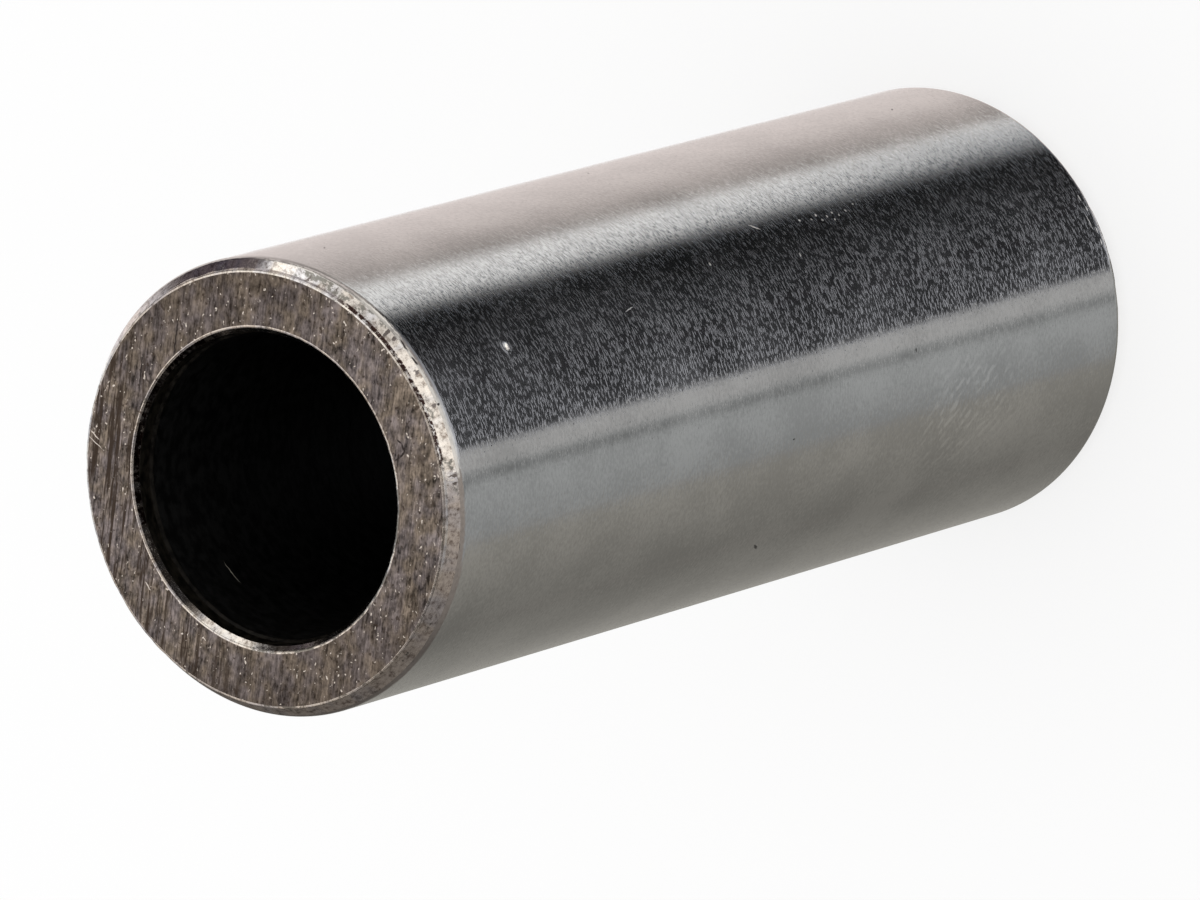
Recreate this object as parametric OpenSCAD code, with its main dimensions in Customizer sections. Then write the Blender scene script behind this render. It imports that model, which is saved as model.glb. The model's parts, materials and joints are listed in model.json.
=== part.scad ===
// Gudgeon pin: a hollow, hardened and ground steel pin that joins a piston to its connecting rod.
// It stands on one end, with the pin's axis along +Z and the origin at the centre of the lower end.
// All sizes are in millimetres.

/* [Pin] */
// Diameter of the ground running surface
outer_d = 12; // [10:0.5:20]
// Length over the two end faces
pin_l = 31.5; // [8:0.5:80]

/* [Bore] */
// Diameter of the through bore
bore_d = 8; // [4:0.5:10]
// How far the turned recess at each mouth stands back from the bore wall
recess_w = 0.07; // [0.02:0.01:0.2]
// Depth of the turned recess, measured from the end face
recess_h = 0.55; // [0.4:0.05:2]
// Width of the 45 degree edge break around each mouth
mouth_break = 0.15; // [0.05:0.05:0.3]

/* [Outer edge of each end] */
// Height of the narrow land that the face grinding leaves beside the end face
land_h = 0.13; // [0.05:0.01:0.4]
// How far the land widens over its height
land_w = 0.03; // [0.01:0.01:0.1]
// Height of the conical lead chamfer behind the land, up to its sharp corner
lead_h = 0.36; // [0.2:0.02:1]
// Radial width of the lead chamfer
lead_w = 0.27; // [0.1:0.01:0.35]
// Radius that blends the lead chamfer into the running surface
blend_r = 0.35; // [0.1:0.05:0.8]

/* [Hidden] */
$fn = 192;

outer_r = outer_d / 2;
bore_r = bore_d / 2;
recess_r = bore_r + recess_w;
mouth_r = recess_r + mouth_break;
land_r = outer_r - lead_w;
face_r = land_r - land_w;

// The blend arc touches the chamfer and the running surface at the same distance from their corner.
lead_angle = atan(lead_w / lead_h);
corner_z = land_h + lead_h;
touch = blend_r * tan(lead_angle / 2);
arc_z = corner_z + touch;
arc_r = outer_r - blend_r;

// Half section of the lower end, from the bore wall round the end face to the running surface
end_outline = [
    [bore_r, recess_h + recess_w],
    [recess_r, recess_h],
    [recess_r, mouth_break],
    [mouth_r, 0],
    [face_r, 0],
    [land_r, land_h],
    [outer_r - touch * sin(lead_angle), corner_z - touch * cos(lead_angle)],
    [outer_r, arc_z]
];

// The upper end is the same outline, turned over and walked back to the bore.
last = len(end_outline) - 1;
upper_outline = [for (i = [last:-1:0]) [end_outline[i].x, pin_l - end_outline[i].y]];

// Disc whose rim is the blend between the chamfer and the running surface
module blend_disc(z) {
    translate([arc_r, z]) circle(r = blend_r);
}

// Half section of the whole pin, in the plane of its axis
module pin_section() {
    polygon(concat(end_outline, upper_outline));
    blend_disc(arc_z);
    blend_disc(pin_l - arc_z);
}

// The pin, turned about its axis in one piece
module gudgeon_pin() {
    color([0.56, 0.55, 0.53]) rotate_extrude() pin_section();
}

gudgeon_pin();
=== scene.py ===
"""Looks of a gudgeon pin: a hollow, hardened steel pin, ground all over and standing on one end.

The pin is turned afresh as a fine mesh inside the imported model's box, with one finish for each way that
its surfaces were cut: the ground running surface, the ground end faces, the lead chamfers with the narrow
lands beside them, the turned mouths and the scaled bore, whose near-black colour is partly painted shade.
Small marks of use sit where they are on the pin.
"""
import json
import logging
import math
from dataclasses import dataclass, field
from enum import Enum

import bpy
from mathutils import Matrix, Vector, noise


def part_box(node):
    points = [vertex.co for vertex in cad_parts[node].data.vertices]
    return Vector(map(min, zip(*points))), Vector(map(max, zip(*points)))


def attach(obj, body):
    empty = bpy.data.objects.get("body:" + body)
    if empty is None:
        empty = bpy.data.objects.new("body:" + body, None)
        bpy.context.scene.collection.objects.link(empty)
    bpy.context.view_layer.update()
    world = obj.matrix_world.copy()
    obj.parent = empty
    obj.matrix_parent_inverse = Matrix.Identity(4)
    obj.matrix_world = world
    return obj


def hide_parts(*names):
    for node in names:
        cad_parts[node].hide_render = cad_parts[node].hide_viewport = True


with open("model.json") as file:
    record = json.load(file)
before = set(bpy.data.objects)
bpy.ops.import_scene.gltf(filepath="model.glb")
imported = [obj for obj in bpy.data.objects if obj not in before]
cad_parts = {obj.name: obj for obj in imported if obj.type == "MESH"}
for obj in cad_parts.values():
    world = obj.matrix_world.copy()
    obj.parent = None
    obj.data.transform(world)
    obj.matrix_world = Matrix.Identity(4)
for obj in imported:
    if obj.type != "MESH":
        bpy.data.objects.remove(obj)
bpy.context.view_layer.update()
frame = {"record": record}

log = logging.getLogger("gudgeon_pin")

MM = 0.001
NODE = "gudgeon_pin"
HALF_TURN_DEG = 180.0
QUARTER_TURN = 0.25
NOISE_MIDDLE = (0.5, 0.5, 0.5)
SHIFT_WAY = (1.0, 0.7, 1.3)

Colour = tuple[float, float, float]
Span = tuple[float, float]
Stops = tuple[tuple[float, Colour], ...]


class Zone(Enum):
    """How a stretch of the pin's surface was cut, which decides its finish."""

    RUNNING = 0
    FACE = 1
    BURR = 2
    LAND = 3
    LEAD = 4
    MOUTH = 5
    RECESS = 6
    BORE = 7


class MarkKind(Enum):
    """What a mark left on the steel: shiny bare metal, matt scraped metal, dirt or a dull spot. Some bare
    marks are painted glints.
    """

    BARE = "bare"
    SCRAPED = "scraped"
    DIRT = "dirt"
    DULL = "dull"


def shaded(colour: Colour, share: float) -> Colour:
    """Makes a colour lighter or darker.

    Args:
        colour: the colour to change.
        share: what each channel is multiplied by.

    Returns:
        The changed colour, held at 1.
    """
    return tuple(min(1.0, channel * share) for channel in colour)


@dataclass(frozen=True)
class Grain:
    """The measures of a cloudy pattern, drawn out by unequal frequencies.

    Attributes:
        per_mm: how many times it changes in a millimetre, along X, Y and Z after any turn.
        shift: how far it is moved, to tell one pattern from the next.
        detail: how many finer layers it has.
        roughness: how strong those layers are.
    """

    per_mm: tuple[float, float, float]
    shift: float = 0.0
    detail: float = 2.0
    roughness: float = 0.5


class NodeBench:
    """Adds and joins the nodes of one material or world."""

    def __init__(self, tree: bpy.types.NodeTree) -> None:
        """Clears the tree to start from nothing."""
        self.tree = tree
        tree.nodes.clear()

    def node(self, kind: str, **settings: object) -> bpy.types.Node:
        """Adds a node.

        Args:
            kind: Blender's name for the node's type.
            settings: properties to set on it.

        Returns:
            The new node.
        """
        made = self.tree.nodes.new(kind)
        for name, value in settings.items():
            setattr(made, name, value)
        return made

    def feed(self, socket: bpy.types.NodeSocket, value: object) -> None:
        """Links an output to a socket, or sets a constant on it.

        Args:
            socket: the input to fill.
            value: an output socket, a number, a colour or a vector.
        """
        if isinstance(value, bpy.types.NodeSocket):
            self.tree.links.new(value, socket)
        elif socket.type == "RGBA":
            socket.default_value = (*value, 1.0)
        else:
            socket.default_value = value

    def math(self, operation: str, *values: object, clamp: bool = False) -> bpy.types.NodeSocket:
        """Works out one number from others.

        Args:
            operation: Blender's name for the operation.
            values: outputs or numbers, in the node's order.
            clamp: whether the result is kept between 0 and 1.

        Returns:
            The result's output.
        """
        made = self.node("ShaderNodeMath", operation=operation, use_clamp=clamp)
        for socket, value in zip(made.inputs, values, strict=False):
            self.feed(socket, value)
        return made.outputs[0]

    def spread(
        self,
        value: object,
        low: object,
        high: object,
        to_low: float = 0.0,
        to_high: float = 1.0,
        kind: str = "SMOOTHSTEP",
    ) -> bpy.types.NodeSocket:
        """Maps a number from one range to another, held at both ends.

        Args:
            value: the number's output.
            low: where the step begins.
            high: where it ends.
            to_low: the result up to low.
            to_high: the result from high on.
            kind: Blender's name for the way between them.

        Returns:
            The result's output.
        """
        made = self.node("ShaderNodeMapRange", interpolation_type=kind)
        for socket, number in zip(made.inputs, (value, low, high, to_low, to_high), strict=False):
            self.feed(socket, number)
        return made.outputs[0]

    def mix(self, share: object, first: object, second: object, blend: str = "MIX") -> bpy.types.NodeSocket:
        """Mixes two colours.

        Args:
            share: how much of the second shows.
            first: the colour underneath.
            second: the colour on top.
            blend: how the second is laid on the first.

        Returns:
            The mixed colour's output.
        """
        made = self.node("ShaderNodeMix", data_type="RGBA", blend_type=blend)
        for name, value in (("Factor_Float", share), ("A_Color", first), ("B_Color", second)):
            socket = next(s for s in made.inputs if s.identifier == name)
            self.feed(socket, value)
        return next(s for s in made.outputs if s.identifier == "Result_Color")

    def ramp(self, place: object, stops: Stops) -> bpy.types.NodeSocket:
        """Reads a colour from a ramp of stops.

        Args:
            place: where to read, from 0 to 1.
            stops: places and colours, in order.

        Returns:
            The colour's output.
        """
        made = self.node("ShaderNodeValToRGB")
        elements = made.color_ramp.elements
        while len(elements) < len(stops):
            elements.new(0.5)
        for element, (where, colour) in zip(elements, stops, strict=True):
            element.position = where
            element.color = (*colour, 1.0)
        self.feed(made.inputs[0], place)
        return made.outputs[0]

    def place_mm(self) -> bpy.types.NodeSocket:
        """Gives the place on the piece in millimetres, in the part's own frame."""
        where = self.node("ShaderNodeTexCoord").outputs["Object"]
        made = self.node("ShaderNodeVectorMath", operation="SCALE")
        self.feed(made.inputs[0], where)
        made.inputs["Scale"].default_value = 1.0 / MM
        return made.outputs[0]

    def around_deg(self, place: object) -> bpy.types.NodeSocket:
        """Gives how far round the pin a place is, from the -Y side towards +X.

        Args:
            place: the place in millimetres.

        Returns:
            The angle's output, from -180 to 180.
        """
        parts = self.node("ShaderNodeSeparateXYZ")
        self.feed(parts.inputs[0], place)
        toward = self.math("MULTIPLY", parts.outputs["Y"], -1.0)
        return self.math("DEGREES", self.math("ARCTAN2", parts.outputs["X"], toward))

    def rolled_mm(self, place: object, radius: float, length: float) -> bpy.types.NodeSocket:
        """Rolls a round surface out flat.

        Args:
            place: the place in millimetres.
            radius: the surface's radius, in millimetres.
            length: the pin's length, in millimetres.

        Returns:
            A vector: millimetres round from the -Y side, and millimetres below the upper end.
        """
        parts = self.node("ShaderNodeSeparateXYZ")
        self.feed(parts.inputs[0], place)
        arc = self.math("MULTIPLY", self.around_deg(place), math.radians(radius))
        below = self.math("SUBTRACT", length, parts.outputs["Z"])
        made = self.node("ShaderNodeCombineXYZ")
        self.feed(made.inputs["X"], arc)
        self.feed(made.inputs["Y"], below)
        return made.outputs[0]

    def grain(self, place: object, pattern: Grain, turn_deg: float = 0.0) -> bpy.types.NodeSocket:
        """Draws a cloudy pattern.

        Args:
            place: the place in millimetres.
            pattern: the pattern's measures.
            turn_deg: how far it is turned about Z.

        Returns:
            The pattern's output, around 0.5.
        """
        turned = self.node("ShaderNodeVectorRotate", rotation_type="Z_AXIS")
        self.feed(turned.inputs["Vector"], place)
        turned.inputs["Angle"].default_value = math.radians(-turn_deg)
        drawn = self.node("ShaderNodeVectorMath", operation="MULTIPLY_ADD")
        self.feed(drawn.inputs[0], turned.outputs[0])
        drawn.inputs[1].default_value = pattern.per_mm
        drawn.inputs[2].default_value = [pattern.shift * way for way in SHIFT_WAY]
        cloud = self.node("ShaderNodeTexNoise")
        self.feed(cloud.inputs["Vector"], drawn.outputs[0])
        cloud.inputs["Scale"].default_value = 1.0
        cloud.inputs["Detail"].default_value = pattern.detail
        cloud.inputs["Roughness"].default_value = pattern.roughness
        return cloud.outputs["Fac"]

    def oval(
        self,
        flat: object,
        spot: tuple[float, float],
        long_mm: float,
        wide_mm: float,
        slant_deg: float,
        core: float = 0.5,
    ) -> bpy.types.NodeSocket:
        """Gives an oval spot with a soft edge.

        Args:
            flat: the place in millimetres, on a flat surface or one that is rolled out.
            spot: the oval's middle.
            long_mm: its length.
            wide_mm: its width.
            slant_deg: how far its length is turned.
            core: the share of it that is full.

        Returns:
            The spot's output, 1 in the middle and 0 outside.
        """
        made = self.node("ShaderNodeMapping", vector_type="TEXTURE")
        self.feed(made.inputs["Vector"], flat)
        made.inputs["Location"].default_value = (*spot, 0.0)
        made.inputs["Rotation"].default_value = (0.0, 0.0, math.radians(slant_deg))
        made.inputs["Scale"].default_value = (long_mm / 2, wide_mm / 2, 1.0)
        away = self.node("ShaderNodeVectorMath", operation="LENGTH")
        self.feed(away.inputs[0], made.outputs[0])
        return self.spread(away.outputs["Value"], core, 1.0, 1.0, 0.0)

    def shaken(self, flat: object, per_mm: float, by_mm: float) -> bpy.types.NodeSocket:
        """Shifts places to and fro a little, so that marks get ragged edges.

        Args:
            flat: the place in millimetres.
            per_mm: how many times the shift changes in a millimetre.
            by_mm: how far it reaches.

        Returns:
            The shifted place.
        """
        cloud = self.node("ShaderNodeTexNoise")
        self.feed(cloud.inputs["Vector"], flat)
        cloud.inputs["Scale"].default_value = per_mm
        cloud.inputs["Detail"].default_value = 1.0
        centred = self.node("ShaderNodeVectorMath", operation="SUBTRACT")
        self.feed(centred.inputs[0], cloud.outputs["Color"])
        centred.inputs[1].default_value = NOISE_MIDDLE
        moved = self.node("ShaderNodeVectorMath", operation="MULTIPLY_ADD")
        self.feed(moved.inputs[0], centred.outputs[0])
        moved.inputs[1].default_value = (2 * by_mm, 2 * by_mm, 0.0)
        self.feed(moved.inputs[2], flat)
        return moved.outputs[0]

    def bump(self, height: object, depth_mm: float, under: object | None = None) -> bpy.types.NodeSocket:
        """Turns a height pattern into a tilted normal.

        Args:
            height: the pattern, from 0 to 1.
            depth_mm: how deep the full pattern is.
            under: a normal to start from.

        Returns:
            The normal's output.
        """
        made = self.node("ShaderNodeBump")
        made.inputs["Strength"].default_value = 1.0
        made.inputs["Distance"].default_value = depth_mm * MM
        self.feed(made.inputs["Height"], height)
        if under is not None:
            self.feed(made.inputs["Normal"], under)
        return made.outputs[0]

    def either(self, share: object, first: object, second: object) -> bpy.types.NodeSocket:
        """Chooses between two shaders.

        Args:
            share: how much of the second shows.
            first: the shader at 0.
            second: the shader at 1.

        Returns:
            The chosen shader's output.
        """
        made = self.node("ShaderNodeMixShader")
        for socket, value in zip(made.inputs, (share, first, second), strict=True):
            self.feed(socket, value)
        return made.outputs[0]


@dataclass(frozen=True)
class Mark:
    """A small mark on a flat surface, or on a round one that is rolled out. Sizes are in millimetres.

    Attributes:
        spot: its middle.
        long: its length.
        wide: its width.
        slant_deg: how far its length is turned.
        kind: what it left.
    """

    spot: tuple[float, float]
    long: float
    wide: float
    slant_deg: float
    kind: MarkKind

    def mask(self, bench: NodeBench, flat: object) -> bpy.types.NodeSocket:
        """Gives the mark's shape as an oval spot."""
        return bench.oval(flat, self.spot, self.long, self.wide, self.slant_deg)


def round_mark(
    radius: float,
    around_deg: float,
    below: float,
    long: float,
    wide: float,
    slant_deg: float,
    kind: MarkKind,
) -> Mark:
    """Makes a mark on a round surface.

    Args:
        radius: the surface's radius, in millimetres.
        around_deg: how far round it is, from the -Y side towards +X.
        below: how far it is below the upper end, in millimetres.
        long: its length.
        wide: its width.
        slant_deg: how far its length is turned from the way round.
        kind: what it left.

    Returns:
        The mark.
    """
    return Mark((math.radians(around_deg) * radius, below), long, wide, slant_deg, kind)


@dataclass(frozen=True)
class Finish:
    """A finish of the steel. Each kind adds its own pattern in its draw method.

    Attributes:
        name: the material's name.
        colour: the surface's own colour.
        roughness: how far it scatters what it mirrors.
        metallic: 1 for bare metal and 0 for scale.
        drawn_out: how far its highlights are drawn out.
        marks: the marks of use on it.
        bare: the colour of bare and scraped marks.
        dirt: the colour of dirt.
        dimmed: the colour of dull marks.
        dim_share: how much of a dull mark shows.
        ragged: how marks' edges are broken: changes in a millimetre, and their reach in millimetres.
    """

    name: str
    colour: Colour
    roughness: float
    metallic: float = 1.0
    drawn_out: float = 0.0
    marks: tuple[Mark, ...] = ()
    bare: Colour = (0.95, 0.94, 0.91)
    dirt: Colour = (0.05, 0.045, 0.045)
    dimmed: Colour = (0.09, 0.075, 0.062)
    dim_share: float = 0.6
    ragged: Span = (9.0, 0.03)

    def material(self) -> bpy.types.Material:
        """Makes the material.

        Returns:
            The new material.
        """
        made = bpy.data.materials.new(self.name)
        made.use_nodes = True
        bench = NodeBench(made.node_tree)
        shader = bench.node("ShaderNodeBsdfPrincipled")
        end = bench.node("ShaderNodeOutputMaterial")
        bench.feed(end.inputs["Surface"], shader.outputs[0])
        shader.inputs["Metallic"].default_value = self.metallic
        shader.inputs["Anisotropic"].default_value = self.drawn_out
        shader.inputs["Anisotropic Rotation"].default_value = QUARTER_TURN if self.drawn_out else 0.0
        self.draw(bench, shader)
        return made

    def draw(self, bench: NodeBench, shader: bpy.types.Node) -> None:
        """Adds the finish's own pattern to its shader.

        Args:
            bench: the material's nodes.
            shader: its Principled shader.
        """
        raise NotImplementedError

    def cover(self, bench: NodeBench, flat: object, kind: MarkKind) -> bpy.types.NodeSocket | None:
        """Joins the ragged shapes of all marks of one kind.

        Args:
            bench: the material's nodes.
            flat: the place in millimetres, on the flat or rolled-out surface.
            kind: the kind of mark.

        Returns:
            1 on the marks and 0 outside, or nothing where there are none.
        """
        chosen = [mark for mark in self.marks if mark.kind is kind]
        if not chosen:
            return None
        ragged = bench.shaken(flat, *self.ragged)
        whole = chosen[0].mask(bench, ragged)
        for mark in chosen[1:]:
            whole = bench.math("MAXIMUM", whole, mark.mask(bench, ragged))
        return whole

    def marked(self, bench: NodeBench, flat: object, colour: object) -> bpy.types.NodeSocket:
        """Lays the finish's marks on its colour.

        Args:
            bench: the material's nodes.
            flat: the place in millimetres, on the flat or rolled-out surface.
            colour: the colour without marks.

        Returns:
            The colour with them.
        """
        paints = (
            (MarkKind.DULL, self.dimmed, self.dim_share),
            (MarkKind.DIRT, self.dirt, 1.0),
            (MarkKind.SCRAPED, self.bare, 1.0),
            (MarkKind.BARE, self.bare, 1.0),
        )
        for kind, paint, share in paints:
            whole = self.cover(bench, flat, kind)
            if whole is not None:
                colour = bench.mix(bench.math("MULTIPLY", whole, share), colour, paint)
        return colour


@dataclass(frozen=True)
class HandPrint:
    """A faint, broken print of skin ridges on the rolled-out running surface.

    Attributes:
        spot: its middle: millimetres round from the -Y side, and millimetres below the upper end.
        size: its reach round and along the pin, in millimetres.
        core: the share of it that is full.
        slant_deg: how far the ridges are turned.
        closeness: how close together they are.
        waver: how far they waver.
        waver_detail: how many finer layers the wavering has.
        waver_scale: how quickly it changes.
        ridged: where a ridge begins and where it is full, between two hollows.
        gaps: the pattern that breaks the ridges.
        gapped: where that pattern hides them and where it lets them show.
    """

    spot: tuple[float, float] = (-3.0, 23.8)
    size: tuple[float, float] = (6.0, 7.6)
    core: float = 0.15
    slant_deg: float = 38.0
    closeness: float = 1.1
    waver: float = 5.0
    waver_detail: float = 2.0
    waver_scale: float = 1.2
    ridged: Span = (0.35, 0.9)
    gaps: Grain = Grain((3.0, 3.0, 1.0), shift=4.0, detail=3.0)
    gapped: Span = (0.42, 0.62)

    def mask(self, bench: NodeBench, flat: object) -> bpy.types.NodeSocket:
        """Draws the print.

        Args:
            bench: the material's nodes.
            flat: the place on the rolled-out surface, in millimetres.

        Returns:
            Where the print dulls the steel, from 0 to 1.
        """
        soft = bench.oval(flat, self.spot, *self.size, 0.0, core=self.core)
        turned = bench.node("ShaderNodeVectorRotate", rotation_type="Z_AXIS")
        bench.feed(turned.inputs["Vector"], flat)
        turned.inputs["Angle"].default_value = math.radians(self.slant_deg)
        ridges = bench.node("ShaderNodeTexWave")
        bench.feed(ridges.inputs["Vector"], turned.outputs[0])
        ridges.inputs["Scale"].default_value = self.closeness
        ridges.inputs["Distortion"].default_value = self.waver
        ridges.inputs["Detail"].default_value = self.waver_detail
        ridges.inputs["Detail Scale"].default_value = self.waver_scale
        broken = bench.spread(bench.grain(flat, self.gaps), *self.gapped)
        lines = bench.math("MULTIPLY", bench.spread(ridges.outputs["Fac"], *self.ridged), broken)
        return bench.math("MULTIPLY", soft, lines)


@dataclass(frozen=True, kw_only=True)
class GroundRunningSurface(Finish):
    """Fine ground steel: short scratches that follow the grinding wheel round the pin, and a handprint.

    Attributes:
        radius: the surface's radius, in millimetres.
        length: the pin's length, in millimetres.
        fine: the pattern of the short scratches.
        scratched: where that pattern begins to be a scratch, and where the scratch is full.
        scratch_depth: how deep a full scratch is, in millimetres.
        dust: a fine change of shade.
        dust_share: how much of it shows.
        cloud: a slow change of shade and shine.
        cloud_share: how much of its shade shows.
        shaded_from: where the two begin to lighten the steel, and where they stop.
        shades: the darkest and the lightest shade.
        hazed: where the cloud begins to dull the steel, and where it stops.
        haze_rough: how far it dulls it.
        scraped_rough: how far scraped marks are dulled.
        hand: the handprint.
        hand_share: how much of it shows.
        hand_shade: how light it is.
        hand_rough: how far it dulls the steel.
    """

    radius: float
    length: float
    fine: Grain = Grain((5.0, 5.0, 22.0), detail=1.0)
    scratched: Span = (0.5, 0.74)
    scratch_depth: float = 0.002
    dust: Grain = Grain((9.0, 9.0, 14.0), shift=13.0, detail=1.0)
    dust_share: float = 0.4
    cloud: Grain = Grain((0.5, 0.5, 0.35), shift=7.0, detail=3.0)
    cloud_share: float = 0.6
    shaded_from: Span = (0.35, 0.65)
    shades: Span = (0.88, 1.12)
    hazed: Span = (0.25, 0.8)
    haze_rough: float = 0.04
    scraped_rough: float = 0.4
    hand: HandPrint = HandPrint()
    hand_share: float = 0.7
    hand_shade: float = 1.35
    hand_rough: float = 0.08

    def draw(self, bench: NodeBench, shader: bpy.types.Node) -> None:
        """Adds round scratches, a slow change of shine, the handprint and the marks.

        Args:
            bench: the material's nodes.
            shader: its Principled shader.
        """
        place = bench.place_mm()
        flat = bench.rolled_mm(place, self.radius, self.length)
        dust = bench.grain(place, self.dust)
        cloud = bench.grain(place, self.cloud)
        shade = bench.math("MULTIPLY", cloud, self.cloud_share)
        shade = bench.math("MULTIPLY_ADD", dust, self.dust_share, shade)
        darkest, lightest = (shaded(self.colour, share) for share in self.shades)
        colour = bench.mix(bench.spread(shade, *self.shaded_from), darkest, lightest)
        frost = self.hand.mask(bench, flat)
        frosted = shaded(self.colour, self.hand_shade)
        colour = bench.mix(bench.math("MULTIPLY", frost, self.hand_share), colour, frosted)
        bench.feed(shader.inputs["Base Color"], self.marked(bench, flat, colour))
        rough = bench.spread(cloud, *self.hazed, self.roughness, self.roughness + self.haze_rough)
        rough = bench.math("MULTIPLY_ADD", frost, self.hand_rough, rough)
        scraped = self.cover(bench, flat, MarkKind.SCRAPED)
        if scraped is not None:
            rough = bench.math("MULTIPLY_ADD", scraped, self.scraped_rough, rough)
        bench.feed(shader.inputs["Roughness"], rough)
        scratches = bench.spread(bench.grain(place, self.fine), *self.scratched)
        bench.feed(shader.inputs["Normal"], bench.bump(scratches, self.scratch_depth))


@dataclass(frozen=True, kw_only=True)
class GroundEndFace(Finish):
    """Coarser ground steel: straight lines right across the end, brown in the deeper ones.

    Attributes:
        middle: the height above which a face is the upper one, in millimetres.
        turn_deg: how far the grinding lines are turned from X.
        short: the pattern of short lines.
        fine: the pattern of fine, long lines.
        deep: the pattern of deep, long lines.
        cloud: a slow change of shade.
        mottle: a quick change of shade.
        weave: how much of the short lines, the fine lines, the cloud and the mottle shows.
        woven: where the weave is darkest and where it is lightest.
        shades: the darkest and the lightest shade.
        hue: the pattern of the change of tone.
        toned: where the tone is cold and where it is warm.
        cold: the cold tone.
        warm: the warm tone.
        stain: the colour of the stain, the grime and the pits.
        grimy_from: how far out along X the grime begins and where it is full, in millimetres.
        grime: how much of it shows.
        deepened: where a deep line begins and where it is full.
        broken: where the fine lines break the stain and where they leave it whole.
        broken_share: how much of it shows in either place.
        stained_from: how far along Y the stain begins and where it is full, in millimetres.
        stained: how much of it shows in either place.
        pits: the pattern of the pits.
        pitted: where that pattern begins to be a pit, and where the pit is full.
        pit_share: how much of a pit shows.
        crowd: where the bright specks, painted glints, crowd together.
        crowded: where they are fewest and where they are most.
        speck_from: where the specks' pattern begins to be a speck, in either place.
        speck_gain: how sharp a speck's edge is.
        speck_shake: how its edge is broken: changes in a millimetre, and their reach in millimetres.
        specks: the pattern of the specks.
        glint: the specks' colour, a painted glint.
        smooth: where the short lines are smoothest and where they are roughest.
        smooth_rough: how far either is from the finish's roughness.
        deep_depth: how deep the deep lines are, in millimetres.
        short_depth: how deep the short lines are, in millimetres.
    """

    middle: float
    turn_deg: float = -27.8
    short: Grain = Grain((3.0, 16.0, 1.0), shift=11.0, roughness=0.7)
    fine: Grain = Grain((0.9, 15.0, 1.0), shift=43.0, detail=3.0, roughness=0.7)
    deep: Grain = Grain((0.4, 6.0, 1.0), shift=3.0, detail=3.0, roughness=0.7)
    cloud: Grain = Grain((1.1, 1.5, 1.0), shift=19.0, detail=3.0)
    mottle: Grain = Grain((4.5, 6.5, 1.0), shift=13.0, detail=3.0, roughness=0.7)
    weave: tuple[float, float, float, float] = (0.24, 0.22, 0.18, 0.36)
    woven: Span = (0.4, 0.6)
    shades: Span = (0.15, 2.1)
    hue: Grain = Grain((1.6, 2.2, 1.0), shift=53.0)
    toned: Span = (0.38, 0.62)
    cold: Colour = (0.97, 0.97, 1.07)
    warm: Colour = (1.04, 0.99, 0.9)
    stain: Colour = (0.065, 0.051, 0.042)
    grimy_from: Span = (2.5, 5.0)
    grime: float = 0.3
    deepened: Span = (0.5, 0.58)
    broken: Span = (0.3, 0.5)
    broken_share: Span = (0.4, 1.0)
    stained_from: Span = (1.0, 4.2)
    stained: Span = (0.15, 0.95)
    pits: Grain = Grain((7.0, 7.0, 1.0), shift=41.0, detail=1.0)
    pitted: Span = (0.66, 0.72)
    pit_share: float = 0.75
    crowd: Grain = Grain((0.9, 0.9, 1.0), shift=29.0, detail=1.0)
    crowded: Span = (0.4, 0.62)
    speck_from: Span = (0.72, 0.685)
    speck_gain: float = 18.0
    speck_shake: Span = (5.0, 0.07)
    specks: Grain = Grain((9.0, 12.0, 1.0), shift=23.0, detail=1.0)
    glint: Colour = (0.95, 0.94, 0.9)
    smooth: Span = (0.2, 0.8)
    smooth_rough: Span = (-0.05, 0.08)
    deep_depth: float = 0.0022
    short_depth: float = 0.00154

    def draw(self, bench: NodeBench, shader: bpy.types.Node) -> None:
        """Adds straight grinding lines, brown stain, dark specks, bright specks that are painted glints,
        and the marks.

        Args:
            bench: the material's nodes.
            shader: its Principled shader.
        """
        place = bench.place_mm()
        parts = bench.node("ShaderNodeSeparateXYZ")
        bench.feed(parts.inputs[0], place)
        short, fine, deep = (
            bench.grain(place, pattern, self.turn_deg) for pattern in (self.short, self.fine, self.deep)
        )
        body = self.ground(bench, place, short, fine)
        body = self.browned(bench, parts, fine, deep, body)
        body = self.specked(bench, place, body)
        upper = bench.math("GREATER_THAN", parts.outputs["Z"], self.middle)
        flat = bench.node("ShaderNodeCombineXYZ")
        bench.feed(flat.inputs["X"], parts.outputs["X"])
        bench.feed(flat.inputs["Y"], parts.outputs["Y"])
        colour = bench.mix(upper, body, self.marked(bench, flat.outputs[0], body))
        bench.feed(shader.inputs["Base Color"], colour)
        limits = [self.roughness + change for change in self.smooth_rough]
        bench.feed(shader.inputs["Roughness"], bench.spread(short, *self.smooth, *limits))
        normal = bench.bump(deep, self.deep_depth)
        bench.feed(shader.inputs["Normal"], bench.bump(short, self.short_depth, normal))

    def ground(self, bench: NodeBench, place: object, short: object, fine: object) -> bpy.types.NodeSocket:
        """Draws the ground steel itself.

        Args:
            bench: the material's nodes.
            place: the place in millimetres.
            short: the short lines.
            fine: the fine lines.

        Returns:
            Its colour, before stain and specks.
        """
        cloud = bench.grain(place, self.cloud, self.turn_deg)
        mottle = bench.grain(place, self.mottle, self.turn_deg)
        weave: object = 0.0
        for pattern, share in zip((short, fine, cloud, mottle), self.weave, strict=True):
            weave = bench.math("MULTIPLY_ADD", pattern, share, weave)
        darkest, lightest = (shaded(self.colour, share) for share in self.shades)
        body = bench.ramp(
            bench.spread(weave, *self.woven, kind="LINEAR"),
            ((0.0, darkest), (0.5, self.colour), (1.0, lightest)),
        )
        hue = bench.grain(place, self.hue, self.turn_deg)
        tones = tuple(zip(self.toned, (self.cold, self.warm), strict=True))
        return bench.mix(1.0, body, bench.ramp(hue, tones), "MULTIPLY")

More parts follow.
